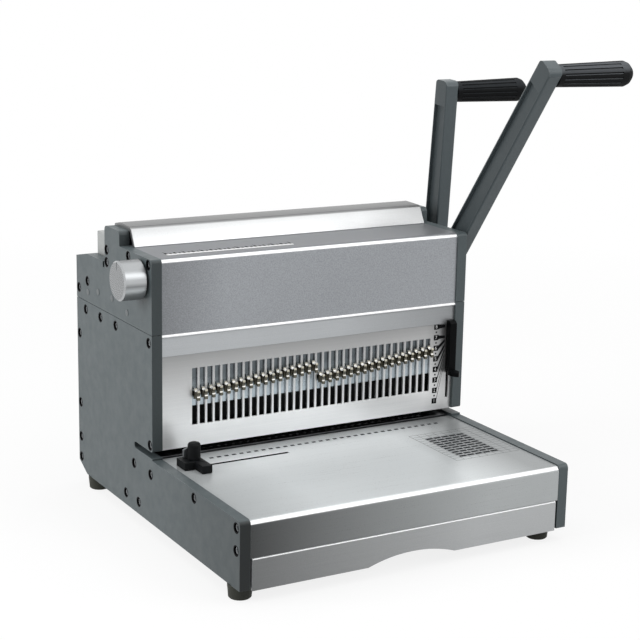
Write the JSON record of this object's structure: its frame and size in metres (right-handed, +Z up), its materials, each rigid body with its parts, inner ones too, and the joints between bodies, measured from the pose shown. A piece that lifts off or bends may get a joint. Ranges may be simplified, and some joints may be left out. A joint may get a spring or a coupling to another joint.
{
  "type": "wire binding machine",
  "caption": "Desk punch and wire closer with a slotted front, pull tabs on the pins, two side levers, a size knob, an edge guide on the table and a chip tray in the base.",
  "frame": {"origin": "middle of the footprint's bounding box, on the surface that the feet stand on", "axes": "+X to the right along the punch row, towards the levers; +Y to the back; +Z up"},
  "size_m": [0.527, 0.392, 0.478],
  "materials": {
    "plate_paint": "slate grey powder coat",
    "silver_sheet": "fine brushed, clear anodised",
    "pale_metal": "satin",
    "steel": "ground",
    "black_steel": "black oxide",
    "bronze": "sintered",
    "tab_nickel": "warm nickel plate",
    "black_plastic": "moulded",
    "grip_rubber": "grooved",
    "foot_rubber": "matt",
    "tray_sheet": "plated sheet"
  },
  "bodies": {
    "frame": {"left_lower_plate": "plate_paint", "right_lower_plate": "plate_paint", "left_upper_plate": "plate_paint", "right_upper_plate": "plate_paint", "table_top": "silver_sheet", "front_panel": "silver_sheet", "header_strip": "silver_sheet", "upper_cover": "silver_sheet", "top_bar": "silver_sheet", "fixed_jaw": "steel", "closer_bed": "pale_metal", "back_panel": "plate_paint", "base_pan": "plate_paint", "chassis_deck": "plate_paint", "tie_rods": "steel", "punch_guide": "black_steel", "die_plate": "steel", "paper_stop": "black_steel", "guide_posts": "steel", "return_springs": "steel", "punch_bushes": "bronze", "closer_bushes": "bronze", "knob_bush": "bronze", "bore_plugs": "pale_metal", "plate_screws": "black_steel", "tray_runners": "steel", "feet": "foot_rubber"},
    "punch_handle": {"punch_shaft": "steel", "punch_cranks": "steel", "punch_crank_pins": "steel", "punch_arm": "plate_paint", "punch_grip": "grip_rubber", "punch_arm_screw": "steel"},
    "press": {"press_bar": "steel", "press_lugs": "steel", "punch_pins": "steel", "pin_tabs": "tab_nickel"},
    "closer_handle": {"closer_shaft": "steel", "closer_cranks": "steel", "closer_crank_pins": "steel", "closer_spacer": "steel", "closer_arm": "plate_paint", "closer_grip": "grip_rubber", "closer_arm_screw": "steel"},
    "moving_jaw": {"closing_bar": "pale_metal", "left_carriage": "steel", "right_carriage": "steel"},
    "knob": {"size_knob": "pale_metal", "knob_spindle": "steel", "stop_cam": "steel"},
    "slider": {"slider_cap": "black_plastic", "slider_nut": "steel"},
    "edge_guide": {"guide_block": "black_plastic", "guide_fence": "silver_sheet", "guide_nut": "steel"},
    "clamp": {"clamp_post": "black_plastic"},
    "tray": {"chip_tray": "tray_sheet", "tray_front": "silver_sheet"}
  },
  "joints": [
    {"name": "punch_lever", "type": "hinge", "parent": "frame", "child": "punch_handle", "pos_m": [-0.052, 0.0585, 0.2205], "axis": [1, 0, 0], "range_deg": [0, 70], "stiffness_Nm_per_rad": 2.5, "springref_deg": -68.75},
    {"name": "press_stroke", "type": "slide", "parent": "frame", "child": "press", "axis": [0, 0, -1], "range_m": [0, 0.0253], "deforming": ["return_springs"]},
    {"name": "closer_lever", "type": "hinge", "parent": "frame", "child": "closer_handle", "pos_m": [-0.052, 0.0975, 0.2275], "axis": [1, 0, 0], "range_deg": [0, 60], "stiffness_Nm_per_rad": 0.8, "springref_deg": -34.38},
    {"name": "jaw_close", "type": "slide", "parent": "frame", "child": "moving_jaw", "axis": [0, -1, 0], "range_m": [0, 0.01405]},
    {"name": "size_turn", "type": "hinge", "parent": "frame", "child": "knob", "pos_m": [-0.2375, 0.022, 0.2625], "axis": [1, 0, 0], "range_deg": [0, 300]},
    {"name": "scale_slide", "type": "slide", "parent": "frame", "child": "slider", "axis": [0, 0, -1], "range_m": [0, 0.026]},
    {"name": "guide_slide", "type": "slide", "parent": "frame", "child": "edge_guide", "axis": [1, 0, 0], "range_m": [0, 0.099]},
    {"name": "clamp_turn", "type": "hinge", "parent": "edge_guide", "child": "clamp", "pos_m": [-0.2063, -0.034, 0.08], "axis": [0, 0, 1], "range_deg": [0, 180]},
    {"name": "tray_slide", "type": "slide", "parent": "frame", "child": "tray", "axis": [0, -1, 0], "range_m": [0, 0.15]}
  ],
  "couplings": [
    {"joint": "press_stroke", "follows": "punch_lever", "m_per_rad": 0.020657},
    {"joint": "jaw_close", "follows": "closer_lever", "m_per_rad": 0.013369}
  ]
}
